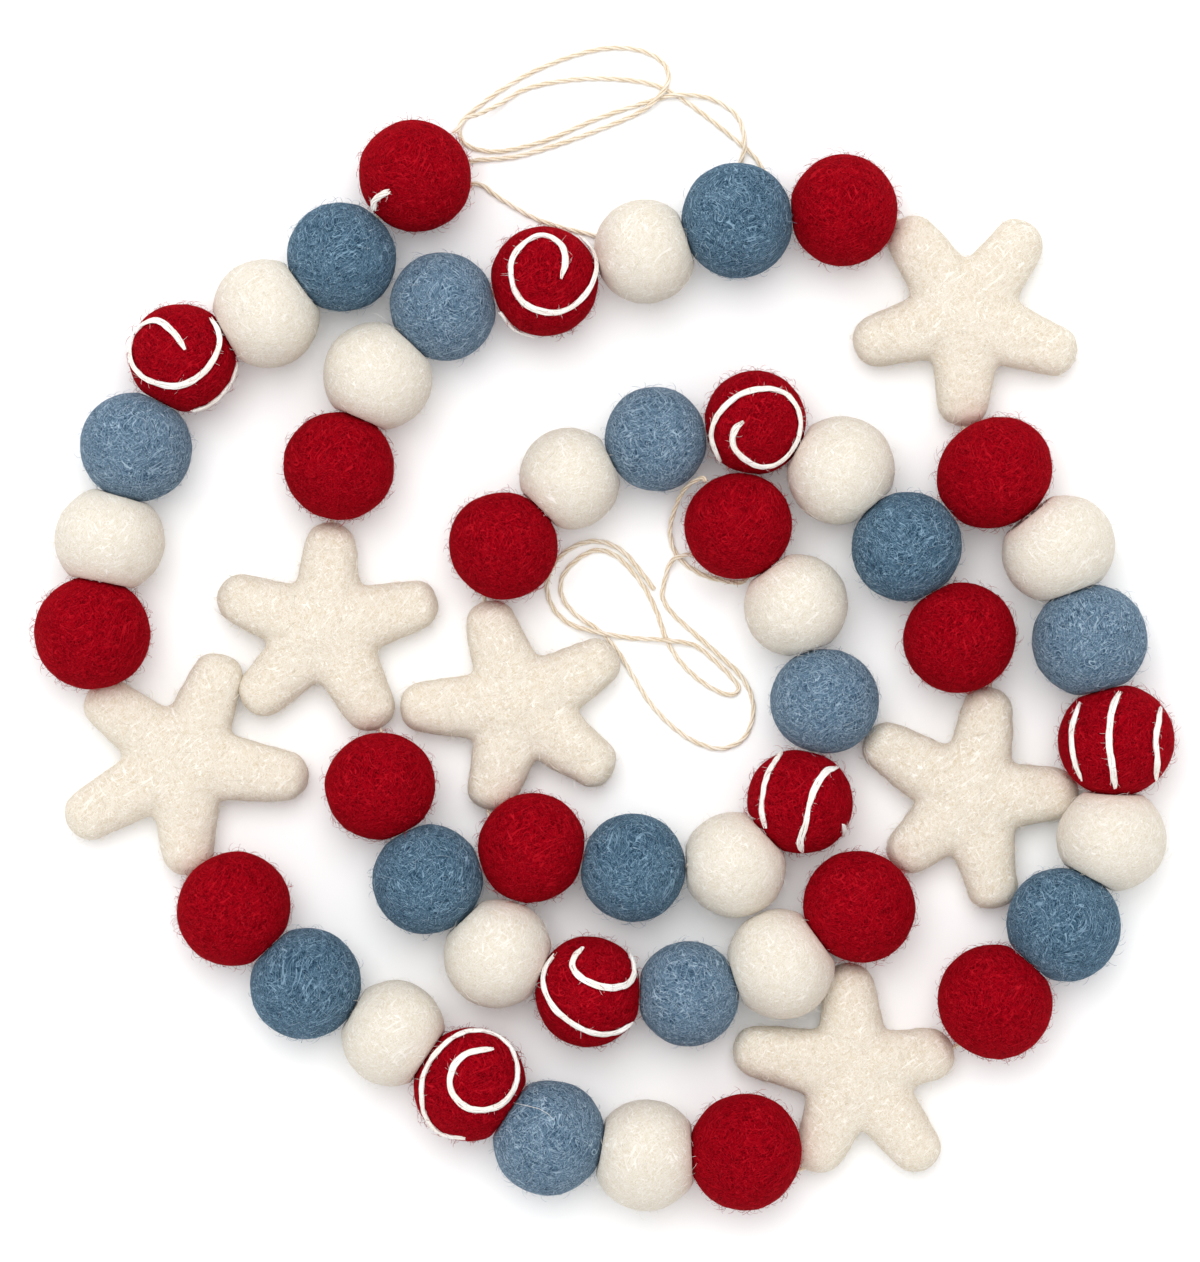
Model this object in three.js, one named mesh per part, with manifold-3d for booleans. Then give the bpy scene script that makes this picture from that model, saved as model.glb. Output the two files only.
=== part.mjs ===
// Garland of felted wool balls and stars threaded on cotton twine, laid flat in an inward spiral.
// Millimetres. X runs right and Y away from the viewer, +Z is up and the table is at z = 0.
import * as THREE from "three";
import { mergeVertices } from "three/addons/utils/BufferGeometryUtils.js";
import Module from "manifold-3d";

const solids = await Module();
solids.setup();

// Driving dimensions
const TWINE_DIAMETER = 1.1;
const NEEDLE_HOLE_DIAMETER = 2.4;
const PRESS_GAP = 0.35;
const BALL_SETTLE = 0.9;
const BALL_LENGTH_RATIO = 0.97;
const ARM_TIP_RADIUS = 5.4;
const ARM_ROOT_HALF_WIDTH = 8.6;
const ARM_TIP_HALF_DEPTH = 5.3;
const ARM_ROOT_HALF_DEPTH = 6.2;
const ARM_BLEND_POWER = 8;
const STAR_MID_HEIGHT = 5.3;
const TAIL_LEAD = 2.2;
const YARN_END_DIAMETER = 1.5;
const YARN_END_LIFT = 0.35;

// Colour and roughness of each material
const FINISHES = {
  red: { color: "#a0101a", roughness: 0.95 },
  swirl_red: { color: "#a0101a", roughness: 0.95 },
  dark_blue: { color: "#4c7390", roughness: 0.95 },
  light_blue: { color: "#6b8cab", roughness: 0.95 },
  ivory: { color: "#f0ebe0", roughness: 0.95 },
  star: { color: "#ede6d6", roughness: 0.95 },
  twine: { color: "#e3d2b4", roughness: 0.85 },
  yarn: { color: "#f6f3ec", roughness: 0.9 },
};

// How finely the solids are divided
const BALL_DETAIL = 2;
const BALL_POINT_TILT = Math.atan2(2, 1 + Math.sqrt(5));
const TWINE_SIDES = 6;
const HOLE_SIDES = 4;
const TAIL_STEPS_PER_POINT = 2;
const YARN_END_STEPS = 7;
const STAR_RAYS = [0.2, 0.4, 0.66];
const STAR_TOP_RINGS = [0.4, 0.74, 0.93];
const STAR_BELLY_RINGS = [0.45, 0.85];

// Share of a squeeze that a ball gives way by against one of another colour: the loose ivory felt gives most
const SOFTNESS = { red: 1, swirl_red: 1, dark_blue: 1, light_blue: 1, ivory: 3 };

// The balls of a run in threading order, the same in every run
const RUN_COLOURS = ["red", "dark_blue", "ivory", "swirl_red", "light_blue", "ivory", "red"];

// Each run's balls: x, y, width across the twine
const RUNS = [
  [[-42.6, 110.1, 25.9], [-59.1, 91.9, 25.2], [-76.1, 79.2, 25.0], [-95.0, 69.2, 24.8],
    [-105.4, 49.1, 25.6], [-111.3, 28.2, 25.0], [-115.2, 7.3, 26.5]],
  [[-83.3, -54.8, 26.3], [-67.2, -71.6, 25.7], [-47.5, -82.9, 24.3], [-30.3, -94.3, 26.0],
    [-12.4, -106.3, 26.3], [9.5, -110.3, 25.4], [31.7, -109.5, 26.5]],
  [[88.0, -75.7, 26.5], [103.4, -58.4, 26.3], [114.2, -38.9, 25.0], [115.2, -16.9, 26.5],
    [109.2, 5.6, 26.3], [102.3, 26.2, 26.3], [87.8, 43.3, 27.2]],
  [[53.9, 102.4, 25.4], [30.0, 100.1, 26.3], [9.2, 93.2, 23.9], [-13.4, 86.5, 25.2],
    [-36.3, 80.8, 24.8], [-51.0, 65.1, 25.2], [-59.7, 44.9, 25.4]],
  [[-50.4, -27.2, 25.2], [-39.7, -48.2, 25.4], [-24.0, -64.9, 25.2], [-3.5, -73.5, 25.2],
    [18.9, -74.0, 24.1], [39.7, -67.3, 25.2], [57.4, -54.3, 25.9]],
  [[80.0, 6.2, 25.7], [68.1, 26.7, 25.4], [53.3, 43.9, 25.0], [34.0, 54.7, 23.9],
    [11.7, 51.0, 23.9], [-7.7, 42.1, 23.4], [-22.7, 26.9, 25.0]],
  [[-16.3, -41.1, 25.2], [6.5, -45.6, 24.8], [29.3, -45.0, 24.3], [44.2, -30.7, 24.3],
    [49.7, -8.1, 24.8], [43.2, 13.5, 23.9], [30.2, 31.4, 24.8]],
];

// The stars between the runs: middle, the twine's arms in and out, and each arm's heading and reach
const STARS = [
  { x: -95.2, y: -21.5, enters: 0, leaves: 3,
    arms: [[143, 26.8], [68, 25.9], [-7, 28.8], [-87, 26.3], [-150, 30.2]] },
  { x: 56.6, y: -91.7, enters: 3, leaves: 1,
    arms: [[94, 24.5], [12, 23.2], [-51, 27.9], [-114, 25.0], [169, 28.1]] },
  { x: 81.7, y: 78.8, enters: 3, leaves: 0,
    arms: [[124, 26.5], [54, 26.1], [-21, 26.9], [-91, 25.0], [-165, 26.3]] },
  { x: -62.9, y: 8.2, enters: 0, leaves: 2,
    arms: [[87, 24.3], [17, 26.3], [-61, 25.8], [-135, 25.5], [161, 25.8]] },
  { x: 83.3, y: -29.8, enters: 3, leaves: 0,
    arms: [[80, 25.4], [4, 24.3], [-77, 26.0], [-140, 23.6], [150, 28.0]] },
  { x: -19.2, y: -9.2, enters: 0, leaves: 3,
    arms: [[109, 25.2], [29, 25.2], [-38, 26.3], [-108, 25.0], [-179, 27.2]] },
];

// The loose end at the first ball: three times along the top of the spiral, tucked under two balls
const OUTER_TAIL = [
  [-31.8, 122.8, 11.0], [-28.2, 124.7, 6.0], [-23.6, 127.4, 1.8], [-18.0, 130.8, 0.6], [-5.0, 133.2, 0.6],
  [10.0, 132.2, 0.6], [16.4, 129.4, 0.6], [29.8, 119.4, 0.6], [34.6, 114.9, 0.6], [36.4, 111.2, 0.6],
  [34.6, 108.2, 0.6], [31.4, 108.3, 0.6], [30.3, 111.4, 0.6], [31.9, 117.6, 1.95], [30.4, 124.4, 0.6],
  [24.6, 128.5, 1.0], [16.6, 129.4, 2.0], [12.2, 128.6, 0.6], [-0.9, 124.4, 0.6], [-14.5, 118.8, 0.6],
  [-25.9, 116.7, 0.6], [-32.0, 118.8, 0.6], [-32.7, 122.4, 0.6], [-27.7, 127.6, 0.6], [-14.5, 135.6, 0.6],
  [0.2, 140.1, 0.6], [9.1, 139.4, 0.6], [13.7, 136.5, 0.6], [14.6, 132.6, 1.8], [11.4, 127.9, 2.0],
  [7.3, 125.2, 0.6], [-19.1, 115.7, 0.6], [-30.5, 114.4, 0.6], [-34.0, 112.9, 0.6], [-34.6, 110.4, 0.6],
  [-32.4, 108.8, 0.6], [-28.6, 109.3, 0.6], [-23.6, 106.0, 0.6], [-14.5, 101.0, 0.6], [0.5, 96.9, 0.6],
];

// The loose end at the last ball: down to the table, a turn under the ball, then a loose hank of two turns
const INNER_TAIL = [
  [18.9, 40.5, 10.0], [16.2, 35.8, 5.5], [15.0, 29.9, 1.9], [16.6, 24.9, 0.6], [21.6, 20.9, 0.6],
  [27.0, 19.2, 0.6], [31.4, 18.9, 0.6], [33.3, 21.4, 0.6], [30.6, 23.8, 0.6], [23.6, 24.4, 0.8],
  [18.6, 25.0, 1.9], [15.4, 23.6, 1.8], [13.7, 18.8, 0.6], [13.3, 15.4, 0.6], [15.2, 12.1, 0.6],
  [20.6, 7.1, 0.6], [26.5, 1.9, 0.6], [31.0, -2.4, 0.6], [33.4, -6.7, 0.6], [33.8, -11.8, 0.6],
  [31.6, -16.8, 0.6], [26.6, -19.0, 0.6], [21.2, -17.7, 0.6], [16.3, -14.6, 0.6], [11.0, -9.3, 0.6],
  [6.8, -2.9, 0.6], [2.9, 3.4, 0.6], [-1.0, 7.7, 0.6], [-6.8, 11.8, 0.6], [-9.6, 15.7, 0.6],
  [-9.5, 19.9, 0.6], [-6.2, 23.9, 0.6], [-1.6, 26.1, 0.6], [2.4, 25.0, 0.6], [5.4, 22.4, 0.6],
  [8.8, 18.2, 0.6], [12.0, 12.0, 0.6], [13.9, 6.5, 0.6], [16.5, 1.8, 0.6], [21.0, -2.9, 0.6],
  [25.7, -5.9, 0.6], [29.0, -6.8, 0.6], [30.7, -5.5, 0.6], [29.4, -3.3, 0.6], [25.2, 0.9, 0.6],
  [20.6, 4.4, 0.9], [14.2, 5.6, 1.9], [5.6, 6.2, 0.7], [-2.2, 7.6, 2.0], [-8.2, 9.6, 0.6],
  [-11.7, 13.2, 0.6], [-13.0, 18.4, 0.6], [-10.6, 24.0, 0.6], [-5.2, 27.6, 0.6], [-0.6, 28.0, 0.6],
  [4.0, 26.0, 0.6], [8.2, 21.4, 0.6], [11.4, 17.2, 0.6],
];

// The short end of white yarn on the first ball: places over the ball, from its middle
const YARN_END = [[-5.3, -4.4], [-7.2, -5.2], [-8.8, -6.4], [-9.0, -8.2]];

// A smooth route whose steps fall on its own points; it never sinks into the table
class TwineRoute extends THREE.CatmullRomCurve3 {
  getPoint(t, target) {
    const point = super.getPoint(t, target);
    point.z = Math.max(point.z, TWINE_DIAMETER / 2);
    return point;
  }

  getPointAt(t, target) {
    return this.getPoint(t, target);
  }

  getTangentAt(t, target) {
    return this.getTangent(t, target);
  }
}

function tube(route, diameter, steps, sides = TWINE_SIDES) {
  const section = new THREE.Shape();
  for (let side = 0; side < sides; side += 1) {
    const angle = (side / sides) * 2 * Math.PI;
    const x = (Math.cos(angle) * diameter) / 2;
    const y = (Math.sin(angle) * diameter) / 2;
    if (side === 0) {
      section.moveTo(x, y);
    } else {
      section.lineTo(x, y);
    }
  }
  const geometry = new THREE.ExtrudeGeometry(section, { extrudePath: route, steps });
  return closed(geometry);
}

function closed(geometry) {
  geometry.deleteAttribute("normal");
  geometry.deleteAttribute("uv");
  return mergeVertices(geometry, 1e-4);
}

function toSolid(geometry) {
  const mesh = new solids.Mesh({
    numProp: 3,
    vertProperties: new Float32Array(geometry.attributes.position.array),
    triVerts: new Uint32Array(geometry.index.array),
  });
  mesh.merge();
  return new solids.Manifold(mesh);
}

function fromSolid(solid) {
  const mesh = solid.getMesh();
  const geometry = new THREE.BufferGeometry();
  geometry.setAttribute("position", new THREE.BufferAttribute(mesh.vertProperties, mesh.numProp));
  geometry.setIndex(new THREE.BufferAttribute(mesh.triVerts, 1));
  return geometry;
}

// The pieces in threading order
function threadedPieces() {
  const pieces = [];
  RUNS.forEach((run, turn) => {
    run.forEach(([x, y, across], place) => {
      const radius = across / 2;
      const colour = RUN_COLOURS[place];
      const number = String(turn * run.length + place + 1).padStart(2, "0");
      const centre = new THREE.Vector3(x, y, radius - BALL_SETTLE);
      pieces.push({ kind: "ball", name: `ball_${number}_${colour}`, colour, radius, centre });
    });
    if (turn < STARS.length) {
      pieces.push(starPiece(STARS[turn], turn + 1));
    }
  });
  return pieces;
}

function starPiece({ x, y, enters, leaves, arms }, number) {
  const centre = new THREE.Vector3(x, y, STAR_MID_HEIGHT);
  const spread = arms.map(([degrees, reach]) => {
    const heading = THREE.MathUtils.degToRad(degrees);
    const along = new THREE.Vector3(Math.cos(heading), Math.sin(heading), 0);
    const end = at(centre, along, reach);
    const cap = at(centre, along, reach - ARM_TIP_RADIUS);
    return { heading, along, reach, end, cap };
  });
  const twineArms = { enters: spread[enters], leaves: spread[leaves] };
  return { kind: "star", name: `star_${number}`, centre, arms: spread, ...twineArms };
}

function at(origin, direction, distance) {
  return origin.clone().addScaledVector(direction, distance);
}

// Half width of an arm at a distance along it: a straight taper, then a round tip
function armHalfWidth(arm, distance) {
  const straight = arm.reach - ARM_TIP_RADIUS;
  if (distance > straight) {
    return Math.sqrt(Math.max(ARM_TIP_RADIUS ** 2 - (distance - straight) ** 2, 0));
  }
  return THREE.MathUtils.lerp(ARM_ROOT_HALF_WIDTH, ARM_TIP_RADIUS, Math.max(distance, 0) / straight);
}

function armHalfDepth(arm, distance) {
  const straight = arm.reach - ARM_TIP_RADIUS;
  const share = THREE.MathUtils.clamp(distance / straight, 0, 1);
  const depth = THREE.MathUtils.lerp(ARM_ROOT_HALF_DEPTH, ARM_TIP_HALF_DEPTH, share);
  if (distance > straight) {
    return depth * Math.sqrt(Math.max(1 - ((distance - straight) / ARM_TIP_RADIUS) ** 2, 0));
  }
  return depth;
}

// Distance from a star's middle to the edge of one arm in a direction turned from the arm's heading
function armEdge(arm, turn) {
  const side = Math.abs(Math.sin(turn));
  const ahead = Math.cos(turn);
  if (ahead <= 0) {
    return 0;
  }
  const straight = arm.reach - ARM_TIP_RADIUS;
  const taper = (ARM_ROOT_HALF_WIDTH - ARM_TIP_RADIUS) / straight;
  const flank = ARM_ROOT_HALF_WIDTH / (side + taper * ahead);
  if (flank * ahead <= straight) {
    return flank;
  }
  return straight * ahead + Math.sqrt(Math.max(ARM_TIP_RADIUS ** 2 - (straight * side) ** 2, 0));
}

function starEdge(star, angle) {
  return Math.max(...star.arms.map((arm) => armEdge(arm, angle - arm.heading)));
}

// Half thickness of a star over a place on its plan: the arms' rounded sections run into each other
function starHalfDepth(star, angle, radius) {
  let sum = 0;
  for (const arm of star.arms) {
    const ahead = radius * Math.cos(angle - arm.heading);
    const aside = radius * Math.sin(angle - arm.heading);
    const width = armHalfWidth(arm, ahead);
    if (ahead > -1e-6 && width > Math.abs(aside)) {
      const depth = armHalfDepth(arm, ahead) * Math.sqrt(1 - (aside / width) ** 2);
      sum += depth ** ARM_BLEND_POWER;
    }
  }
  return sum ** (1 / ARM_BLEND_POWER);
}

// Directions round a star: each arm's own, the ones beside it and the notch to the next arm
function starRays(star) {
  const headings = star.arms.map((arm) => THREE.MathUtils.euclideanModulo(arm.heading, 2 * Math.PI));
  headings.sort((a, b) => a - b);
  const rays = [];
  headings.forEach((heading, index) => {
    const next = headings[(index + 1) % headings.length];
    const half = THREE.MathUtils.euclideanModulo(next - heading, 2 * Math.PI) / 2;
    rays.push(heading);
    STAR_RAYS.forEach((share) => rays.push(heading + half * share));
    rays.push(heading + half);
    [...STAR_RAYS].reverse().forEach((share) => rays.push(heading + half * (2 - share)));
  });
  return rays;
}

function starGeometry(star) {
  const rays = starRays(star);
  const points = [];
  const faces = [];
  const addPoint = (angle, share, up) => {
    const radius = share * starEdge(star, angle);
    const depth = share < 1 ? starHalfDepth(star, angle, radius) : 0;
    const z = Math.max(star.centre.z + up * depth, 0);
    points.push(star.centre.x + radius * Math.cos(angle), star.centre.y + radius * Math.sin(angle), z);
    return points.length / 3 - 1;
  };
  const addRing = (share, up) => rays.map((angle) => addPoint(angle, share, up));
  const rim = addRing(1, 1);
  const skin = (shares, up) => {
    const middle = addPoint(0, 0, up);
    const rings = [...shares.map((share) => addRing(share, up)), rim];
    rays.forEach((_, a) => {
      const b = (a + 1) % rays.length;
      addFace(middle, rings[0][a], rings[0][b], up);
      for (let k = 0; k + 1 < rings.length; k += 1) {
        addFace(rings[k][a], rings[k + 1][a], rings[k + 1][b], up);
        addFace(rings[k][a], rings[k + 1][b], rings[k][b], up);
      }
    });
  };
  const addFace = (a, b, c, up) => faces.push(...(up > 0 ? [a, b, c] : [a, c, b]));
  skin(STAR_TOP_RINGS, 1);
  skin(STAR_BELLY_RINGS, -1);
  const geometry = new THREE.BufferGeometry();
  geometry.setAttribute("position", new THREE.Float32BufferAttribute(points, 3));
  geometry.setIndex(faces);
  return geometry;
}

// The flat where two balls squeeze each other, on the first ball's side
function ballContact(ball, other) {
  const toOther = other.centre.clone().sub(ball.centre);
  const distance = toOther.length();
  const squeeze = ball.radius + other.radius - distance;
  if (squeeze < -PRESS_GAP) {
    return null;
  }
  const share = SOFTNESS[ball.colour] / (SOFTNESS[ball.colour] + SOFTNESS[other.colour]);
  const depth = ball.radius - squeeze * share - PRESS_GAP / 2;
  return flatAt(ball.centre, toOther.normalize(), depth);
}

// The flat where an arm of a star presses a ball
function armContact(ball, star, arm) {
  const nearest = new THREE.Vector3();
  new THREE.Line3(star.centre, arm.cap).closestPointToPoint(ball.centre, true, nearest);
  const toArm = nearest.clone().sub(ball.centre);
  const distance = toArm.length();
  toArm.normalize();
  const along = nearest.distanceTo(star.centre);
  const level = Math.hypot(toArm.x, toArm.y);
  const felt = Math.hypot(armHalfWidth(arm, along) * level, armHalfDepth(arm, along) * toArm.z);
  const depth = distance - felt - PRESS_GAP;
  return depth < ball.radius ? flatAt(ball.centre, toArm, depth) : null;
}

function flatAt(centre, normal, depth) {
  return new THREE.Plane().setFromNormalAndCoplanarPoint(normal, at(centre, normal, depth));
}

function contactsOf(ball, pieces) {
  const found = [];
  for (const other of pieces) {
    if (other.kind === "star") {
      other.arms.forEach((arm) => found.push(armContact(ball, other, arm)));
    } else if (other !== ball) {
      found.push(ballContact(ball, other));
    }
  }
  return found.filter((plane) => plane !== null);
}

// A ball a little shorter along the twine, flat where its neighbours press it and where it rests on the table
function ballGeometry(ball, heading, contacts) {
  const geometry = closed(new THREE.IcosahedronGeometry(ball.radius, BALL_DETAIL));
  geometry.rotateX(BALL_POINT_TILT);
  geometry.scale(BALL_LENGTH_RATIO, 1, 1);
  geometry.rotateZ(heading);
  geometry.translate(ball.centre.x, ball.centre.y, ball.centre.z);
  const places = geometry.attributes.position;
  const point = new THREE.Vector3();
  for (let i = 0; i < places.count; i += 1) {
    point.fromBufferAttribute(places, i);
    for (const plane of contacts) {
      const beyond = plane.distanceToPoint(point);
      if (beyond > 0) {
        point.addScaledVector(plane.normal, -beyond);
      }
    }
    places.setXYZ(i, point.x, point.y, Math.max(point.z, 0));
  }
  return geometry;
}

// Where the twine passes from one piece to the next
function linkPoint(piece, next) {
  const from = piece.kind === "star" ? piece.leaves.end : piece.centre;
  const to = next.kind === "star" ? next.enters.end : next.centre;
  const left = piece.kind === "star" ? 0 : piece.radius;
  const right = next.kind === "star" ? 0 : next.radius;
  const distance = from.distanceTo(to);
  return from.clone().lerp(to, (left + (distance - left - right) / 2) / distance);
}

// Where the twine comes out of a ball at an end of the garland
function mouth(ball, neighbour) {
  const out = ball.centre.clone().sub(neighbour.centre).setZ(0).normalize();
  return { out, point: at(ball.centre, out, ball.radius * BALL_LENGTH_RATIO) };
}

const pieces = threadedPieces();
const first = mouth(pieces[0], pieces[1]);
const last = mouth(pieces.at(-1), pieces.at(-2));
const links = [first.point];
pieces.slice(0, -1).forEach((piece, index) => links.push(linkPoint(piece, pieces[index + 1])));
links.push(last.point);

const threading = [first.point];
pieces.forEach((piece, index) => {
  if (piece.kind === "star") {
    threading.push(piece.enters.cap, piece.centre, piece.leaves.cap);
  }
  threading.push(links[index + 1]);
});
const strandRoute = new TwineRoute(threading);
const strandSteps = threading.length - 1;
const needleHole = toSolid(tube(strandRoute, NEEDLE_HOLE_DIAMETER, strandSteps, HOLE_SIDES));

const garland = new THREE.Group();
garland.name = "felt_star_garland";
const felt = new THREE.Box3();

// A named mesh in its own place: the geometry is given where it lies and is moved under the mesh's position
function addMesh(parent, name, geometry, finish, place) {
  const material = new THREE.MeshStandardMaterial({ ...FINISHES[finish], metalness: 0 });
  geometry.translate(-place.x, -place.y, 0);
  const mesh = new THREE.Mesh(geometry, material);
  mesh.name = name;
  mesh.position.set(place.x, place.y, 0);
  parent.add(mesh);
  return mesh;
}

const threaded = new THREE.Group();
garland.add(threaded);
pieces.forEach((piece, index) => {
  let body;
  if (piece.kind === "star") {
    body = toSolid(starGeometry(piece));
  } else {
    const run = links[index + 1].clone().sub(links[index]);
    body = toSolid(ballGeometry(piece, Math.atan2(run.y, run.x), contactsOf(piece, pieces)));
  }
  const geometry = fromSolid(body.subtract(needleHole));
  const mesh = addMesh(threaded, piece.name, geometry, piece.colour ?? "star", piece.centre);
  felt.expandByObject(mesh);
});

const cords = new THREE.Group();
garland.add(cords);
addMesh(cords, "twine_strand", tube(strandRoute, TWINE_DIAMETER, strandSteps), "twine", first.point);

function addTail(name, start, rows) {
  const lead = [at(start.point, start.out, PRESS_GAP), at(start.point, start.out, TAIL_LEAD)];
  const points = [...lead, ...rows.map((row) => new THREE.Vector3(...row))];
  const steps = (points.length - 1) * TAIL_STEPS_PER_POINT;
  addMesh(cords, name, tube(new TwineRoute(points), TWINE_DIAMETER, steps), "twine", start.point);
}

addTail("twine_tail_outer", first, OUTER_TAIL);
addTail("twine_tail_inner", last, INNER_TAIL);

const yarnRise = pieces[0].radius + YARN_END_LIFT + YARN_END_DIAMETER / 2;
const yarnPoints = YARN_END.map(([x, y]) => {
  const z = Math.sqrt(yarnRise ** 2 - x * x - y * y);
  return pieces[0].centre.clone().add(new THREE.Vector3(x, y, z));
});
const yarnRoute = new THREE.CatmullRomCurve3(yarnPoints);
addMesh(cords, "yarn_end", tube(yarnRoute, YARN_END_DIAMETER, YARN_END_STEPS), "yarn", pieces[0].centre);

// The origin is on the table under the middle of the felt
const middle = felt.getCenter(new THREE.Vector3());
garland.position.set(-middle.x, -middle.y, -felt.min.z);

export default garland;
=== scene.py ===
"""Garland of felted wool balls and stars on cotton twine, laid flat in an inward spiral."""
import math

import bmesh
import bpy
import numpy as np
from mathutils import Matrix, Vector, noise
from mathutils.kdtree import KDTree


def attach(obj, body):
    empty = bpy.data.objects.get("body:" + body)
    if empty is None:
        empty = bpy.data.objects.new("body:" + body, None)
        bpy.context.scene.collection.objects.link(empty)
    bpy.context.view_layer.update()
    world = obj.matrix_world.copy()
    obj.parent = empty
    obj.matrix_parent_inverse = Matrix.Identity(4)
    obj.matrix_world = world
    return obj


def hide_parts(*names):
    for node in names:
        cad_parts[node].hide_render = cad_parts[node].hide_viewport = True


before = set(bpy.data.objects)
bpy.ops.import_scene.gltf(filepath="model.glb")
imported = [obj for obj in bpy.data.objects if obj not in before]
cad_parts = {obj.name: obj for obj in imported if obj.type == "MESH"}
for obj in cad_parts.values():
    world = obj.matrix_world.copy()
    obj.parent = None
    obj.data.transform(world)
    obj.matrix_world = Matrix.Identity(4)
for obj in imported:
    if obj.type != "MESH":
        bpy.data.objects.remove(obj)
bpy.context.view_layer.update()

# Sizes in millimetres, as the maker would measure them
MM = 0.001
TWINE = 1.1
BALL_SETTLE = 0.9
BALL_LENGTH_RATIO = 0.97
SQUEEZED_LENGTH_RATIOS = {"ball_20_ivory": 0.91, "ball_21_red": 0.9}
PRESS_GAP = 0.1
FUZZ_DEPTH = 0.15
HAIRLESS_HEIGHT = 3.5
ARM_TIP_RADIUS = 5.2
ARM_TIP_HALF_WIDTH = 5.8
ARM_ROOT_HALF_WIDTH = 8.7
ARM_TIP_HALF_DEPTH = 5.2
ARM_ROOT_HALF_DEPTH = 6.6
ARM_SQUARENESS = 2.55
ARM_ROOT_OVERLAP = 2.5
STAR_MID_HEIGHT = 5.3
STAR_GRAIN = 0.8
STAR_SMOOTHING = 14
OUTER_LEAD = 2.2
INNER_LEAD = 1.3
TWINE_PLIES = 3
TWINE_PITCH = 9.5
TAIL_PLY_RADIUS = 0.31
TAIL_PLY_OFFSET = 0.27
THREADED_PLY_RADIUS = 0.3
THREADED_PLY_OFFSET = 0.26
GROOVE_DEPTH_SHARE = 0.55
YARN_STRANDS = 10
YARN_CORES = 2
YARN_STRAND_RADIUS = 0.2
YARN_HALF_WIDTH = 0.64
YARN_LIFT = 0.1
YARN_END_RISE = 1.1
FRAME_SHIFT = Vector((0.017, 0.047, 0.0))

# How softly felt rounds off where it is pressed flat, hollowed, or laid on the table
FLAT_ROUNDING = 0.25
HOLLOW_ROUNDING = 0.3
TABLE_ROUNDING = 0.08

# Distance between the points along each route
TAIL_STEP = 0.4
THREADED_STEP = 1.8
YARN_STEP = 0.6
YARN_END_STEP = 0.3
CURVE_STEPS = 12

# The random draws of the loose hairs, and of each piece's lumps
HAIR_SEED = 20
LUMP_SEED_STEP = 3.7
LUMP_SEED_START = 0.5

# The camera looks straight down; one pixel of the frame is this long at the balls' middle height
PIXEL = 0.225
FRAME_HEIGHT_PIXELS = 1262
MIDDLE_HEIGHT = 12.5
PHOTO_CENTRE = (604.0, 665.5)
EYE = Vector((-0.9, 7.76, 1200.0))
SENSOR_HEIGHT = 24.0
FARTHEST_SEEN = 20.0

# Soft light from above, a white room and a pale floor, in metres
ROOM_BRIGHTNESS = 0.82
KEY_PLACE = (-0.14, 0.54, 1.6)
KEY_SIZE = 1.5
KEY_POWER = 19.0
FLOOR_HALF_SIZE = 3.0
FLOOR_DROP = 0.0001
FLOOR_TONE = 0.92
FLOOR_GLOW = 0.07

RUN_COLOURS = ["red", "dark_blue", "ivory", "swirl_red", "light_blue", "ivory", "red"]
SOFTNESS = {"red": 1, "swirl_red": 1, "dark_blue": 1, "light_blue": 1, "ivory": 3}
FELT_SLOTS = {
    "red": "red_felt",
    "swirl_red": "red_felt",
    "dark_blue": "dark_blue_felt",
    "light_blue": "light_blue_felt",
    "ivory": "ivory_felt",
    "star": "cream_felt",
}

# Each run's balls: x, y, width across the twine
RUNS = [
    [(-42.6, 110.1, 25.9), (-59.1, 91.9, 25.2), (-76.1, 79.2, 25.0), (-95.0, 69.2, 24.8),
     (-105.4, 49.1, 25.6), (-111.3, 28.2, 25.0), (-115.2, 7.3, 26.5)],
    [(-83.3, -54.8, 26.3), (-67.2, -71.6, 25.7), (-47.5, -82.9, 24.3), (-30.3, -94.3, 26.0),
     (-12.4, -106.3, 26.3), (9.5, -110.3, 25.4), (31.7, -109.5, 26.5)],
    [(88.0, -75.7, 26.5), (103.4, -58.4, 26.3), (114.2, -38.9, 25.0), (115.2, -16.9, 26.5),
     (109.2, 5.6, 26.3), (102.3, 26.2, 26.3), (87.8, 43.3, 27.2)],
    [(53.9, 102.4, 25.4), (30.0, 100.1, 26.3), (9.2, 93.2, 23.9), (-13.4, 86.5, 25.2),
     (-36.3, 80.8, 24.8), (-51.0, 65.1, 25.2), (-59.7, 44.9, 25.4)],
    [(-50.4, -27.2, 25.2), (-39.7, -48.2, 25.4), (-24.0, -64.9, 25.2), (-3.5, -73.5, 25.2),
     (18.9, -74.0, 24.1), (39.7, -67.3, 25.2), (57.4, -54.3, 25.9)],
    [(80.0, 6.2, 25.7), (68.1, 26.7, 25.4), (53.3, 43.9, 25.0), (34.0, 54.7, 23.9),
     (11.7, 51.0, 23.9), (-7.7, 42.1, 23.4), (-22.7, 26.9, 25.0)],
    [(-16.3, -41.1, 25.2), (6.5, -45.6, 24.8), (29.3, -45.0, 24.3), (44.2, -30.7, 24.3),
     (49.7, -8.1, 24.8), (43.2, 13.5, 23.9), (30.2, 31.4, 24.8)],
]

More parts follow.
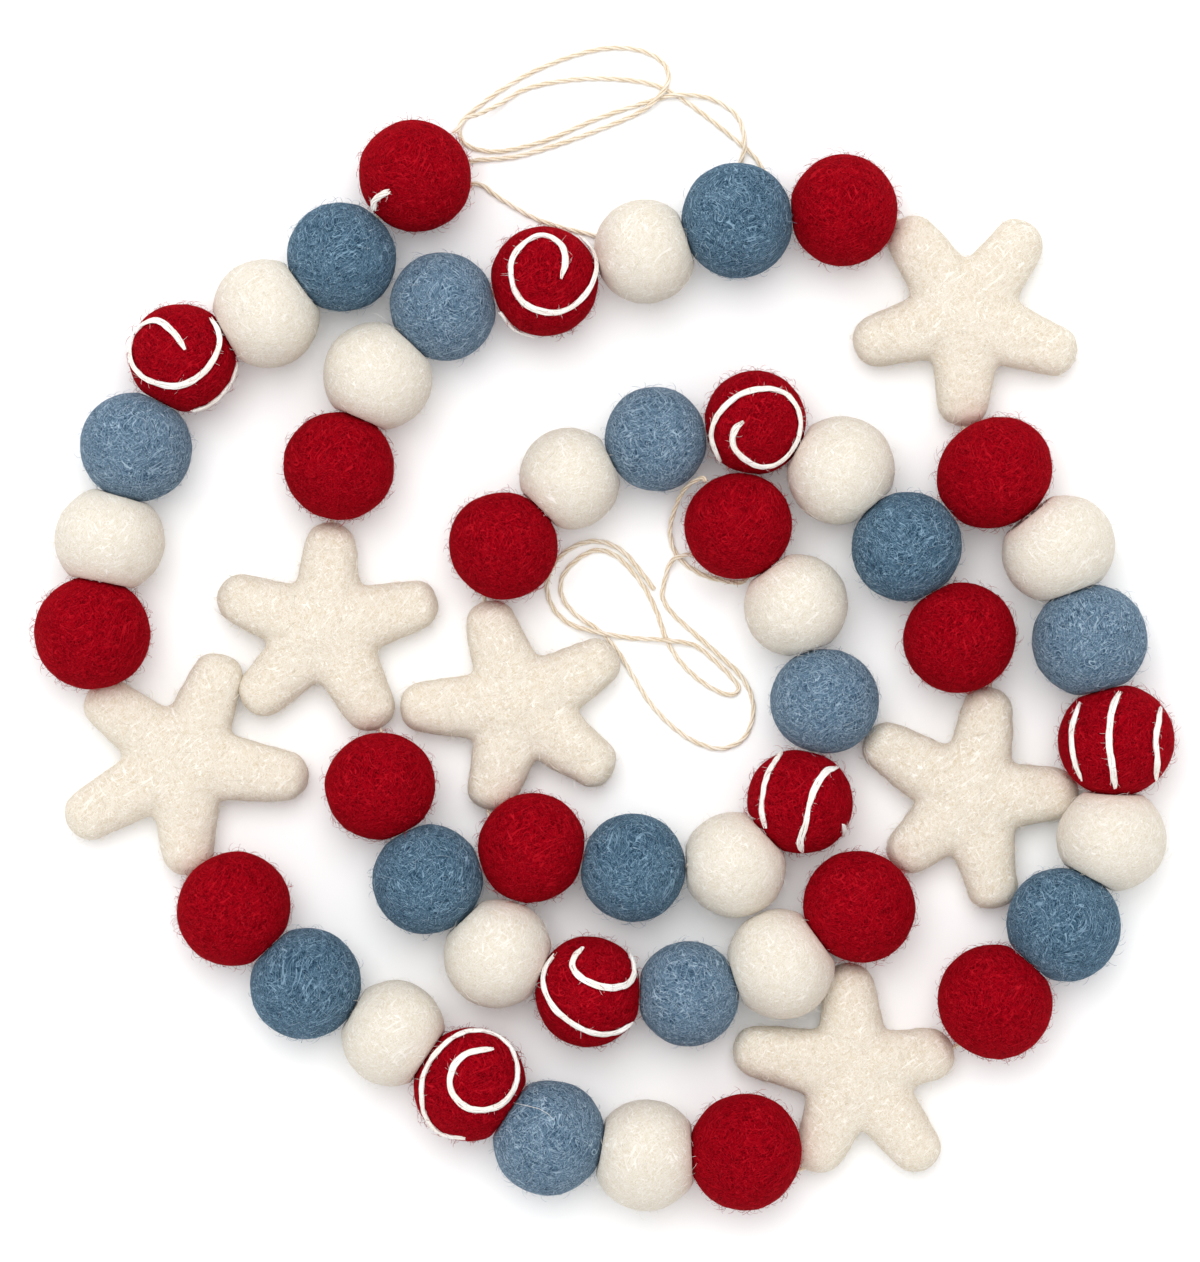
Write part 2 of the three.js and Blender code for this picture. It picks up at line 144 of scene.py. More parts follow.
# Each star: x, y, the twine's arms in and out, and each arm's heading and reach
STARS = [
    (-95.2, -21.5, 0, 3, [(143, 26.8), (68, 25.9), (-9, 28.8), (-87, 26.3), (-150, 30.2)]),
    (56.6, -91.7, 3, 1, [(94, 24.5), (12, 23.2), (-51, 27.9), (-114, 25.0), (169, 28.1)]),
    (81.7, 78.8, 3, 0, [(124, 26.5), (54, 26.1), (-21, 26.9), (-91, 25.0), (-165, 26.3)]),
    (-62.9, 8.2, 0, 2, [(87, 24.3), (15, 26.3), (-61, 25.8), (-135, 25.5), (161, 25.8)]),
    (83.3, -29.8, 3, 0, [(80, 25.4), (2, 24.3), (-77, 26.0), (-140, 23.6), (150, 28.0)]),
    (-19.2, -9.2, 0, 3, [(109, 25.2), (29, 25.2), (-38, 26.3), (-108, 25.0), (-179, 27.2)]),
]

# The loose end at the first ball: three times along the top of the spiral, tucked under two balls
OUTER_TAIL = [
    (-31.8, 122.8, 11.0), (-28.2, 124.7, 6.0), (-23.6, 127.4, 1.8), (-18.0, 130.8, 0.6), (-5.0, 133.2, 0.6),
    (10.0, 132.2, 0.6), (16.4, 129.4, 0.6), (29.8, 119.4, 0.6), (34.6, 114.9, 0.6), (36.4, 111.2, 0.6),
    (34.6, 108.2, 0.6), (31.4, 108.3, 0.6), (30.3, 111.4, 0.6), (31.9, 117.6, 1.95), (30.4, 124.4, 0.6),
    (24.6, 128.5, 1.0), (16.6, 129.4, 2.0), (12.2, 128.6, 0.6), (-0.9, 124.4, 0.6), (-14.5, 118.8, 0.6),
    (-25.9, 116.7, 0.6), (-32.0, 118.8, 0.6), (-32.7, 122.4, 0.6), (-27.7, 127.6, 0.6), (-14.5, 135.6, 0.6),
    (0.2, 140.1, 0.6), (9.1, 139.4, 0.6), (13.7, 136.5, 0.6), (14.6, 132.6, 1.8), (11.4, 127.9, 2.0),
    (7.3, 125.2, 0.6), (-19.1, 115.7, 0.6), (-30.5, 114.4, 0.6), (-34.0, 112.9, 0.6), (-34.6, 110.4, 0.6),
    (-32.4, 108.8, 0.6), (-28.6, 109.3, 0.6), (-23.6, 106.0, 0.6), (-14.5, 101.0, 0.6), (0.5, 96.9, 0.6),
]

# The loose end at the last ball: down to the table, a turn under the ball, then a loose hank of two turns
INNER_TAIL = [
    (18.9, 40.5, 10.0), (16.2, 35.8, 5.5), (15.0, 29.9, 1.9), (16.6, 24.9, 0.6), (21.6, 20.9, 0.6),
    (27.0, 19.2, 0.6), (31.4, 18.9, 0.6), (33.3, 21.4, 0.6), (30.6, 23.8, 0.6), (23.6, 24.4, 0.8),
    (18.6, 25.0, 1.9), (15.4, 23.6, 1.8), (13.7, 18.8, 0.6), (13.3, 15.4, 0.6), (15.2, 12.1, 0.6),
    (20.6, 7.1, 0.6), (26.5, 1.9, 0.6), (31.0, -2.4, 0.6), (33.4, -6.7, 0.6), (33.8, -11.8, 0.6),
    (31.6, -16.8, 0.6), (26.6, -19.0, 0.6), (21.2, -17.7, 0.6), (16.3, -14.6, 0.6), (11.0, -9.3, 0.6),
    (6.8, -2.9, 0.6), (2.9, 3.4, 0.6), (-1.0, 7.7, 0.6), (-6.8, 11.8, 0.6), (-9.6, 15.7, 0.6),
    (-9.5, 19.9, 0.6), (-6.2, 23.9, 0.6), (-1.6, 26.1, 0.6), (2.4, 25.0, 0.6), (5.4, 22.4, 0.6),
    (8.8, 18.2, 0.6), (12.0, 12.0, 0.6), (13.9, 6.5, 0.6), (16.5, 1.8, 0.6), (21.0, -2.9, 0.6),
    (25.7, -5.9, 0.6), (29.0, -6.8, 0.6), (30.7, -5.5, 0.6), (29.4, -3.3, 0.6), (25.2, 0.9, 0.6),
    (20.6, 4.4, 0.9), (14.2, 5.6, 1.9), (5.6, 6.2, 0.7), (-2.2, 7.6, 2.0), (-8.2, 9.6, 0.6),
    (-11.7, 13.2, 0.6), (-13.0, 18.4, 0.6), (-10.6, 24.0, 0.6), (-5.2, 27.6, 0.6), (-0.6, 28.0, 0.6),
    (4.0, 26.0, 0.6), (8.2, 21.4, 0.6), (11.4, 17.2, 0.6),
]

# The short end of white yarn on the first ball: places over the ball, from its middle
YARN_END = [(-5.3, -4.4), (-7.2, -5.2), (-8.8, -6.4), (-9.0, -8.2)]

# A long stray hair across a light blue ball, on the frame's pixels
STRAY_HAIR_BALL = 11
STRAY_HAIR_LIFT = 0.15
STRAY_HAIR_WIDTH = 0.14
STRAY_HAIR = [(513, 1103), (527, 1106), (539, 1109), (548, 1114), (556, 1123)]

# White yarn felted into the swirled balls, drawn on the frame's pixels over each ball
SWIRLS = {
    1: [[(185, 350), (172, 332), (160, 322), (148, 322), (135, 333), (130, 350), (133, 365), (145, 378),
         (160, 384), (175, 386), (190, 382), (205, 370), (215, 357), (219, 345), (217, 330), (210, 318)],
        [(237, 362), (232, 380), (220, 396), (205, 407), (190, 411)]],
    2: [[(493, 1049), (480, 1051), (465, 1055), (453, 1068), (450, 1083), (455, 1097), (468, 1108),
         (485, 1110), (500, 1105), (512, 1092), (517, 1075), (515, 1058), (508, 1045), (495, 1035),
         (475, 1031), (455, 1037), (435, 1055), (424, 1075), (422, 1095), (425, 1115), (440, 1133),
         (465, 1138)]],
    3: [[(1080, 703), (1073, 725), (1072, 745), (1076, 765), (1082, 780)],
        [(1120, 693), (1112, 710), (1109, 735), (1112, 765), (1115, 788)],
        [(1160, 708), (1158, 725), (1155, 740), (1157, 760), (1155, 780)]],
    4: [[(561, 279), (565, 262), (562, 247), (552, 238), (540, 236), (525, 243), (513, 258), (511, 275),
         (516, 292), (527, 305), (545, 312), (563, 311), (580, 300), (592, 283), (596, 265), (592, 248),
         (580, 233)],
        [(500, 312), (515, 330), (535, 337)]],
    5: [[(583, 948), (575, 957), (572, 967), (580, 977), (595, 985), (612, 988), (627, 984), (634, 974),
         (632, 960), (627, 950)],
        [(555, 955), (545, 970), (544, 985), (552, 1005), (565, 1018), (585, 1030), (605, 1034),
         (622, 1030), (632, 1022)]],
    6: [[(744, 422), (735, 430), (733, 442), (740, 455), (755, 465), (770, 466), (785, 458), (797, 440),
         (800, 422), (795, 405), (783, 393), (765, 389), (745, 393), (727, 405), (715, 420), (712, 437),
         (716, 452), (722, 463)]],
    7: [[(783, 752), (770, 770), (764, 790), (762, 810), (766, 828)],
        [(838, 768), (826, 772), (815, 788), (809, 805), (805, 825), (800, 842), (803, 852)],
        [(842, 825), (844, 831), (845, 838)]],
}


# The pieces in threading order

class Ball:
    def __init__(self, x, y, across, colour, name):
        self.radius = across / 2
        self.centre = Vector((x, y, self.radius - BALL_SETTLE))
        self.colour = colour
        self.name = name


class Star:
    def __init__(self, x, y, enters, leaves, arms, name):
        self.centre = Vector((x, y, STAR_MID_HEIGHT))
        self.arms = [(math.radians(degrees), reach) for degrees, reach in arms]
        self.enters = self.arms[enters]
        self.leaves = self.arms[leaves]
        self.name = name

    def along(self, arm, distance):
        heading, _ = arm
        return self.centre + Vector((math.cos(heading), math.sin(heading), 0)) * distance

    def end(self, arm):
        return self.along(arm, arm[1])

    def cap(self, arm):
        return self.along(arm, arm[1] - ARM_TIP_RADIUS)


def threaded_pieces():
    pieces = []
    for turn, run in enumerate(RUNS):
        for place, row in enumerate(run):
            colour = RUN_COLOURS[place]
            pieces.append(Ball(*row, colour, f"ball_{turn * len(run) + place + 1:02d}_{colour}"))
        if turn < len(STARS):
            pieces.append(Star(*STARS[turn], f"star_{turn + 1}"))
    return pieces


PIECES = threaded_pieces()
BALLS = [piece for piece in PIECES if isinstance(piece, Ball)]
STAR_PIECES = [piece for piece in PIECES if isinstance(piece, Star)]
RED_BALLS = [ball for ball in BALLS if FELT_SLOTS[ball.colour] == "red_felt"]


def mouth(ball, neighbour):
    out = ball.centre - neighbour.centre
    out.z = 0
    out.normalize()
    return ball.centre + out * (ball.radius * BALL_LENGTH_RATIO), out


def link_point(piece, following):
    start = piece.end(piece.leaves) if isinstance(piece, Star) else piece.centre
    stop = following.end(following.enters) if isinstance(following, Star) else following.centre
    left = 0 if isinstance(piece, Star) else piece.radius
    right = 0 if isinstance(following, Star) else following.radius
    distance = (stop - start).length
    return start.lerp(stop, (left + (distance - left - right) / 2) / distance)


FIRST_MOUTH, FIRST_OUT = mouth(PIECES[0], PIECES[1])
LAST_MOUTH, LAST_OUT = mouth(PIECES[-1], PIECES[-2])
LINKS = [FIRST_MOUTH] + [link_point(a, b) for a, b in zip(PIECES, PIECES[1:])] + [LAST_MOUTH]


# Materials

class Flow:
    """A shader socket that can be used in sums; node() adds any other node."""

    def __init__(self, tree, socket=None):
        self.tree = tree
        self.socket = socket

    def node(self, kind, settings=None, inputs=None, output=0):
        made = self.tree.nodes.new("ShaderNode" + kind)
        for name, value in (settings or {}).items():
            setattr(made, name, value)
        for key, value in (inputs or {}).items():
            if isinstance(value, Flow):
                self.tree.links.new(value.socket, made.inputs[key])
            else:
                made.inputs[key].default_value = value
        return Flow(self.tree, made.outputs[output])

    def math(self, operation, first, second=0.0, clamp=False):
        return self.node("Math", {"operation": operation, "use_clamp": clamp}, {0: first, 1: second})

    def __add__(self, other):
        return self.math("ADD", self, other)

    __radd__ = __add__

    def __sub__(self, other):
        return self.math("SUBTRACT", self, other)

    def __rsub__(self, other):
        return self.math("SUBTRACT", other, self)

    def __mul__(self, other):
        return self.math("MULTIPLY", self, other)

    __rmul__ = __mul__

    def __abs__(self):
        return self.math("ABSOLUTE", self)

    def between(self, low, high):
        ends = {0: self, 1: low, 2: high, 3: 0.0, 4: 1.0}
        return self.node("MapRange", {"interpolation_type": "SMOOTHSTEP"}, ends)

    def mixed(self, low, high):
        return self.node("Mix", {"data_type": "RGBA"}, {0: self, 6: low, 7: high}, output=2)


def colour(text):
    channels = [int(text[i:i + 2], 16) / 255 for i in (1, 3, 5)]
    linear = [c / 12.92 if c <= 0.04045 else ((c + 0.055) / 1.055) ** 2.4 for c in channels]
    return (*linear, 1.0)


def new_material(name):
    material = bpy.data.materials.new(name)
    material.use_nodes = True
    tree = material.node_tree
    shader = tree.nodes["Principled BSDF"]
    return material, Flow(tree), shader


# One layer of laid fibres: thin lines where a noise, drawn out along the layer's direction,
# passes its middle value
def laid_fibres(flow, place, turn, grain, width):
    laid = {"Vector": place, "Rotation": turn, "Scale": grain}
    drawn = flow.node("Mapping", {"vector_type": "TEXTURE"}, laid)
    field = flow.node("TexNoise", {}, {"Vector": drawn, "Scale": 1.0, "Detail": 0.0})
    return 1 - abs(field - 0.5).between(0.3 * width, width)


# The layers from the deepest to the topmost: direction, length and spacing of the fibres in metres,
# their width as a share of the noise, and how light they are, with painted shade on the deep layers and
# painted light on the top ones. Layers lighter than RELIEF_FROM stand up.
FIBRE_LAYERS = [
    ((0.1, 0.4, 0.3), (0.009, 0.0006, 0.0006), 0.052, 0.36),
    ((0.5, 0.1, 1.9), (0.009, 0.0006, 0.0006), 0.050, 0.45),
    ((0.2, 0.5, 1.1), (0.010, 0.0006, 0.0006), 0.046, 0.54),
    ((0.3, 0.6, 2.6), (0.010, 0.0006, 0.0006), 0.040, 0.64),
    ((0.7, 0.2, 0.7), (0.011, 0.0007, 0.0007), 0.034, 0.75),
    ((0.4, 0.7, 2.2), (0.012, 0.0008, 0.0008), 0.022, 0.88),
]
RELIEF_FROM = 0.6

FELT_COLOURS = {
    # colours of the gaps, darkened with painted shade, of the body, and of the topmost fibres, lightened
    # with painted light, then how patchy and how curly the wool is
    "red_felt": ("#560007", "#8a010f", "#ae1421", 0.14, 1.0),
    "dark_blue_felt": ("#1b3042", "#425e73", "#88a4b8", 0.14, 1.2),
    "light_blue_felt": ("#283e52", "#587186", "#a0b4c4", 0.14, 1.2),
    "ivory_felt": ("#d3c8b5", "#ded7ca", "#f0ece5", 0.06, 0.8),
    "cream_felt": ("#d0c2aa", "#dfd6c7", "#f2ede4", 0.06, 0.6),
}

# Pale wool takes painted red reflected light from the red wool beside it
PALE_WOOLS = ("ivory_felt", "cream_felt")
PAINTED_BOUNCE_COLOUR = "#d98c80"
PAINTED_BOUNCE_STRENGTH = 0.5
PAINTED_BOUNCE_REACH = 1.8

# Wool and spun fibre are dull, and their relief is shallow, in metres
WOOL_ROUGHNESS = 0.95
WOOL_SHINE = 0.02
SPUN_ROUGHNESS = 0.88
SPUN_SHINE = 0.1
SPUN_GLOW = 0.15
RELIEF_STRENGTH = 0.4
FELT_RELIEF = 0.0003
SPUN_RELIEF = 0.0001

# The short nap lightens each colour where the surface turns away
FUZZ_GLOW = 0.18
FUZZ_TINTS = {
    "red_felt": "#e0101c",
    "dark_blue_felt": "#9fb4c4",
    "light_blue_felt": "#b4c3d0",
    "ivory_felt": "#fff6ea",
    "cream_felt": "#fff2df",
}

# How many hairs lie on each piece and how many stand off it
LOOSE_HAIRS = {
    "red_felt": (20, 440),
    "dark_blue_felt": (50, 170),
    "light_blue_felt": (50, 170),
    "ivory_felt": (30, 110),
    "cream_felt": (80, 280),
}


def felt_material(slot):
    gap, body, lit, patchiness, curliness = FELT_COLOURS[slot]
    material, flow, shader = new_material(slot + "_wool")
    place = flow.node("TexCoord", output=3)
    curls = []
    for scale, reach in ((90.0, 0.007), (230.0, 0.0035)):
        sway = flow.node("TexNoise", {}, {"Vector": place, "Scale": scale, "Detail": 0.0}, output=1)
        swing = (reach * curliness,) * 3
        curls.append(flow.node("VectorMath", {"operation": "MULTIPLY_ADD"}, {0: sway, 1: swing, 2: place}))
    pores = flow.node("TexNoise", {}, {"Vector": place, "Scale": 900.0, "Detail": 2.0, "Roughness": 0.6})
    patches = flow.node("TexNoise", {}, {"Vector": place, "Scale": 260.0, "Detail": 1.0})
    tone = pores.between(0.3, 0.7) * 0.35
    relief = tone
    for index, (turn, grain, width, level) in enumerate(FIBRE_LAYERS):
        fibres = laid_fibres(flow, curls[index % 2], turn, grain, width)
        tone = tone + fibres * (level - tone)
        if level > RELIEF_FROM:
            relief = relief + fibres * (level - relief)
    tone = tone + (patches - 0.5) * patchiness
    # The fibre pattern, with painted shade in the gaps between fibres and painted light on the topmost
    # fibres
    ground = tone.between(0.0, 0.5).mixed(colour(gap), colour(body))
    tinted = tone.between(0.4, 1.0).mixed(ground, colour(lit))
    if slot in PALE_WOOLS:
        # Painted red reflected light, strongest where red wool is close
        painted_red_bounce = flow.node("Attribute", {"attribute_name": "painted_red_bounce"}, output=2)
        tinted = (painted_red_bounce * (0.5 + tone * 0.3)).mixed(tinted, colour(PAINTED_BOUNCE_COLOUR))
    raised = {"Strength": RELIEF_STRENGTH, "Distance": FELT_RELIEF, "Height": relief}
    bump = flow.node("Bump", {}, raised)
    flow.tree.links.new(tinted.socket, shader.inputs["Base Color"])
    flow.tree.links.new(bump.socket, shader.inputs["Normal"])
    shader.inputs["Roughness"].default_value = WOOL_ROUGHNESS
    shader.inputs["Specular IOR Level"].default_value = WOOL_SHINE
    shader.inputs["Sheen Weight"].default_value = FUZZ_GLOW
    shader.inputs["Sheen Roughness"].default_value = 0.5
    shader.inputs["Sheen Tint"].default_value = colour(FUZZ_TINTS[slot])
    return material


# Loose fibres let light through, so they are lighter than the felt, and vary from one to the next
LOOSE_COLOURS = {
    "red_felt": ("#8c0614", "#b61c29"),
    "dark_blue_felt": ("#5f7e95", "#a9bfce"),
    "light_blue_felt": ("#7590a5", "#bccbd7"),
    "ivory_felt": ("#ece5d8", "#fffdf8"),
    "cream_felt": ("#e8dfcd", "#fffaf0"),
}


def fuzz_material(slot):
    deep, lit = LOOSE_COLOURS[slot]
    material, flow, shader = new_material(slot + "_loose_fibres")
    place = flow.node("TexCoord", output=3)
    tone = flow.node("TexNoise", {}, {"Vector": place, "Scale": 700.0, "Detail": 1.0})
    hue = tone.between(0.35, 0.65).mixed(colour(deep), colour(lit))
    flow.tree.links.new(hue.socket, shader.inputs["Base Color"])
    shader.inputs["Roughness"].default_value = WOOL_ROUGHNESS
    shader.inputs["Specular IOR Level"].default_value = WOOL_SHINE
    return material


# Spun fibre: a fine grain, and slow changes of tone along the strand; on twine, painted shade in the
# grooves between the plies
def strand_material(name, shade, body, lit, scale, groove=None):
    material, flow, shader = new_material(name)
    place = flow.node("TexCoord", output=3)
    grain = flow.node("TexNoise", {}, {"Vector": place, "Scale": scale, "Detail": 2.0, "Roughness": 0.5})
    slow = flow.node("TexNoise", {}, {"Vector": place, "Scale": scale * 0.06, "Detail": 1.0})
    base = grain.between(0.25, 0.65).mixed(colour(shade), colour(body))
    spun = (slow.between(0.35, 0.75) * 0.6).mixed(base, colour(lit))
    if groove:
        # Painted shade in the grooves between the plies, darkest where the ridge attribute is low
        ridge = flow.node("Attribute", {"attribute_name": "ridge"}, output=2)
        spun = ridge.between(0.0, 0.7).mixed(colour(groove), spun)
    raised = {"Strength": RELIEF_STRENGTH, "Distance": SPUN_RELIEF, "Height": grain}
    bump = flow.node("Bump", {}, raised)
    flow.tree.links.new(spun.socket, shader.inputs["Base Color"])
    flow.tree.links.new(bump.socket, shader.inputs["Normal"])
    shader.inputs["Roughness"].default_value = SPUN_ROUGHNESS
    shader.inputs["Specular IOR Level"].default_value = SPUN_SHINE
    shader.inputs["Sheen Weight"].default_value = SPUN_GLOW
    return material


FELTS = {slot: felt_material(slot) for slot in FELT_COLOURS}
LOOSE_FIBRES = {slot: fuzz_material(slot) for slot in FELT_COLOURS}
# The last twine colour is painted shade for the grooves between the plies
TWINE_COTTON = strand_material("natural_cotton_twine", "#d9c6a9", "#eee2cf", "#f8f1e5", 3600.0, "#c6ad86")
WHITE_YARN = strand_material("white_wool_yarn", "#e6ded3", "#f7f3ed", "#ffffff", 2400.0)


# Making and placing pieces

def add_piece(name, mesh, material, replaces=()):
    piece = bpy.data.objects.new(name, mesh)
    bpy.context.scene.collection.objects.link(piece)
    piece.data.materials.clear()
    piece.data.materials.append(material)
    for polygon in piece.data.polygons:
        polygon.use_smooth = True
    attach(piece, "root")
    if replaces:
        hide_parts(*replaces)
    return piece


def finished(shape):
    """The mesh of a scratch object with its modifiers applied; the object is removed."""
    bpy.context.view_layer.update()
    shown = shape.evaluated_get(bpy.context.evaluated_depsgraph_get())
    mesh = bpy.data.meshes.new_from_object(shown)
    source = shape.data
    bpy.data.objects.remove(shape)
    if isinstance(source, bpy.types.Curve):
        bpy.data.curves.remove(source)
    else:
        bpy.data.meshes.remove(source)
    return mesh


def to_frame(point):
    return (point + FRAME_SHIFT) * MM


def points_of(mesh):
    """A mesh's points in millimetres, one row each."""
    places = np.empty(len(mesh.vertices) * 3)
    mesh.vertices.foreach_get("co", places)
    return places.reshape(-1, 3) / MM


# Felt balls

def soft_over(depth, softness):
    """How far to push a point back from a surface it has passed, rounded off at the edge."""
    ratio = depth / softness
    if ratio > 12:
        return depth
    if ratio < -12:
        return 0.0
    return softness * math.log1p(math.exp(ratio))


def press_of(ball, other):
    """What a neighbouring ball does to this one: nothing, a flat, or a hollow in the softer felt."""
    to_other = other.centre - ball.centre
    distance = to_other.length
    squeeze = ball.radius + other.radius - distance
    if squeeze < -0.5:
        return None
    mine = SOFTNESS[ball.colour]
    theirs = SOFTNESS[other.colour]
    if mine < theirs:
        return None
    if mine > theirs:
        return ("hollow", other.centre, other.radius + PRESS_GAP)
    return ("flat", to_other / distance, ball.radius - squeeze / 2 - PRESS_GAP / 2)


def arm_press(ball, star, arm):
    heading, reach = arm
    axis = Vector((math.cos(heading), math.sin(heading), 0))
    straight = reach - ARM_TIP_RADIUS
    along = min(max((ball.centre - star.centre).dot(axis), 0), straight)
    nearest = star.centre + axis * along
    to_arm = nearest - ball.centre
    distance = to_arm.length
    to_arm.normalize()
    share = along / straight
    width = ARM_ROOT_HALF_WIDTH + (ARM_TIP_HALF_WIDTH - ARM_ROOT_HALF_WIDTH) * share
    deep = ARM_ROOT_HALF_DEPTH + (ARM_TIP_HALF_DEPTH - ARM_ROOT_HALF_DEPTH) * share
    felt = math.hypot(width * math.hypot(to_arm.x, to_arm.y), deep * to_arm.z)
    depth = distance - felt - PRESS_GAP
    if depth > ball.radius + 0.5:
        return None
    return ("flat", to_arm, depth)


def presses_on(ball):
    found = [press_of(ball, other) for other in BALLS if other is not ball]
    for star in STAR_PIECES:
        found += [arm_press(ball, star, arm) for arm in star.arms]
    return [press for press in found if press]


def pressed(point, ball, presses):
    for kind, where, size in presses:
        if kind == "flat":
            over = soft_over((point - ball.centre).dot(where) - size, FLAT_ROUNDING)
            point = point - where * over
        else:
            away = point - where
            distance = away.length
            point = point + away / distance * soft_over(size - distance, HOLLOW_ROUNDING)
    return point


def lumpy(direction, seed, radius):
    """Hand-rolled felt is never quite round: slow lumps, and a finer crumble on them."""
    slow = noise.noise(direction * 1.6 + Vector((seed, 0, 0)))
    middle = noise.noise(direction * 4.2 + Vector((0, seed, 0)))
    fine = noise.noise(direction * 11.0 + Vector((0, 0, seed)))
    return radius * (0.016 * slow + 0.008 * middle + 0.004 * fine)


def ball_mesh(ball, heading, seed):
    shape = bmesh.new()
    bmesh.ops.create_icosphere(shape, subdivisions=5, radius=1.0)
    turn = Matrix.Rotation(heading, 3, "Z")
    presses = presses_on(ball)
    length_ratio = SQUEEZED_LENGTH_RATIOS.get(ball.name, BALL_LENGTH_RATIO)
    for vertex in shape.verts:
        direction = vertex.co.normalized()
        point = direction * (ball.radius - FUZZ_DEPTH + lumpy(direction, seed, ball.radius))
        point.x *= length_ratio
        point = turn @ point + ball.centre
        point = pressed(point, ball, presses)
        point.z += soft_over(-point.z, TABLE_ROUNDING)
        point.z = max(point.z, 0.0)
        vertex.co = to_frame(point)
    mesh = bpy.data.meshes.new(ball.name + "_felt")
    shape.to_mesh(mesh)
    shape.free()
    return mesh


# Felt stars: five tapered rolls of wool worked into one body

def flattened(y, z):
    """How much fuller than round a roll is in this direction: worked wool has a broad, flat back."""
    across = math.hypot(y, z)
    if across < 1e-6:
        return 1.0
    total = abs(y / across) ** ARM_SQUARENESS + abs(z / across) ** ARM_SQUARENESS
    return total ** (-1 / ARM_SQUARENESS)


def star_mesh(star, seed):
    shape = bmesh.new()
    for heading, reach in star.arms:
        straight = reach - ARM_TIP_RADIUS
        roll = bmesh.ops.create_uvsphere(shape, u_segments=28, v_segments=20, radius=1.0)["verts"]
        bmesh.ops.rotate(shape, verts=roll, matrix=Matrix.Rotation(math.pi / 2, 3, "Y"))
        for vertex in roll:
            x, y, z = vertex.co
            fuller = flattened(y, z)
            y *= fuller
            z *= fuller
            if x > 0.01:
                z *= flattened(x, z)
                vertex.co = (straight + ARM_TIP_RADIUS * x, ARM_TIP_HALF_WIDTH * y, ARM_TIP_HALF_DEPTH * z)
            else:
                vertex.co = (ARM_ROOT_OVERLAP * x, ARM_ROOT_HALF_WIDTH * y, ARM_ROOT_HALF_DEPTH * z)
        bmesh.ops.rotate(shape, verts=roll, matrix=Matrix.Rotation(heading, 3, "Z"))
    bmesh.ops.translate(shape, verts=shape.verts, vec=star.centre)
    bmesh.ops.scale(shape, verts=shape.verts, vec=(MM, MM, MM))
    mesh = bpy.data.meshes.new(star.name + "_rolls")
    shape.to_mesh(mesh)
    shape.free()
    rolls = bpy.data.objects.new(star.name + "_rolls", mesh)
    bpy.context.scene.collection.objects.link(rolls)
    joined = rolls.modifiers.new("felted", "REMESH")
    joined.mode = "VOXEL"
    joined.voxel_size = STAR_GRAIN * MM
    worked = rolls.modifiers.new("worked", "SMOOTH")
    worked.factor = 0.5
    worked.iterations = STAR_SMOOTHING
    felted = finished(rolls)
    felted.name = star.name + "_felt"
    shape = bmesh.new()
    shape.from_mesh(felted)
    shape.normal_update()
    for vertex in shape.verts:
        point = vertex.co / MM
        local = point - star.centre
        offset = Vector((seed, 2.0 * seed, 0))
        lump = 0.42 * noise.noise(local * 0.13 + offset) + 0.16 * noise.noise(local * 0.42 + offset)
        point = point + vertex.normal * lump
        point.z += soft_over(-point.z, TABLE_ROUNDING)
        point.z = max(point.z, 0.0)
        vertex.co = to_frame(point)
    shape.to_mesh(felted)
    shape.free()
    return felted


# Painted red reflected light on pale felt near red wool
def add_painted_red_bounce(mesh):
    places = points_of(mesh)
    nearest = np.full(len(places), 99.0)
    for ball in RED_BALLS:
        gap = np.linalg.norm(places - np.array(ball.centre + FRAME_SHIFT), axis=1) - ball.radius
        nearest = np.minimum(nearest, np.maximum(gap, 0))
    # Painted red reflected light, fading with distance from the nearest red ball
    painted_bounce = mesh.attributes.new("painted_red_bounce", "FLOAT", "POINT")
    faded = PAINTED_BOUNCE_STRENGTH * np.exp(-nearest / PAINTED_BOUNCE_REACH)
    painted_bounce.data.foreach_set("value", faded.astype(np.float32))


# Loose fibres standing on the felt: thin three-sided hairs, joined to one mesh for each colour

def surface_samples(mesh, count, rng):
    mesh.calc_loop_triangles()
    corners = np.empty(len(mesh.loop_triangles) * 3, dtype=np.int64)
    mesh.loop_triangles.foreach_get("vertices", corners)
    corners = corners.reshape(-1, 3)
    places = points_of(mesh)
    a, b, c = (places[corners[:, k]] for k in range(3))
    cross = np.cross(b - a, c - a)
    area = np.linalg.norm(cross, axis=1)
    area[a[:, 2] < HAIRLESS_HEIGHT] = 0.0
    chosen = rng.choice(len(area), size=count, p=area / area.sum())
    u, v = rng.random((2, count, 1))
    flip = u + v > 1
    u = np.where(flip, 1 - u, u)
    v = np.where(flip, 1 - v, v)
    points = a[chosen] + (b - a)[chosen] * u + (c - a)[chosen] * v
    return points, unit(cross[chosen])


def unit(vectors):
    return vectors / np.maximum(np.linalg.norm(vectors, axis=1, keepdims=True), 1e-9)


# Hairs lying on felt, standing off it and on yarn: how far they lift, as a share of their turn,
# their length, how far they turn and how thick they are
LYING_HAIRS = ((0.1, 0.3), (3.0, 6.0), (0.5, 1.2), (0.07, 0.11))
STANDING_HAIRS = ((0.3, 0.85), (1.4, 3.8), (0.8, 2.2), (0.06, 0.1))
YARN_HAIRS = ((0.3, 0.9), (0.8, 2.4), (0.6, 1.6), (0.05, 0.08))
SWIRL_HAIR_COUNT = 130
YARN_END_HAIR_COUNT = 40
HAIR_ROOT_DEPTH = 0.12
HAIR_SIDEWAYS = 0.8
HAIR_STATIONS = (0.0, 0.28, 0.54, 0.78, 1.0)
HAIR_TAPER = (1.0, 0.95, 0.85, 0.7)


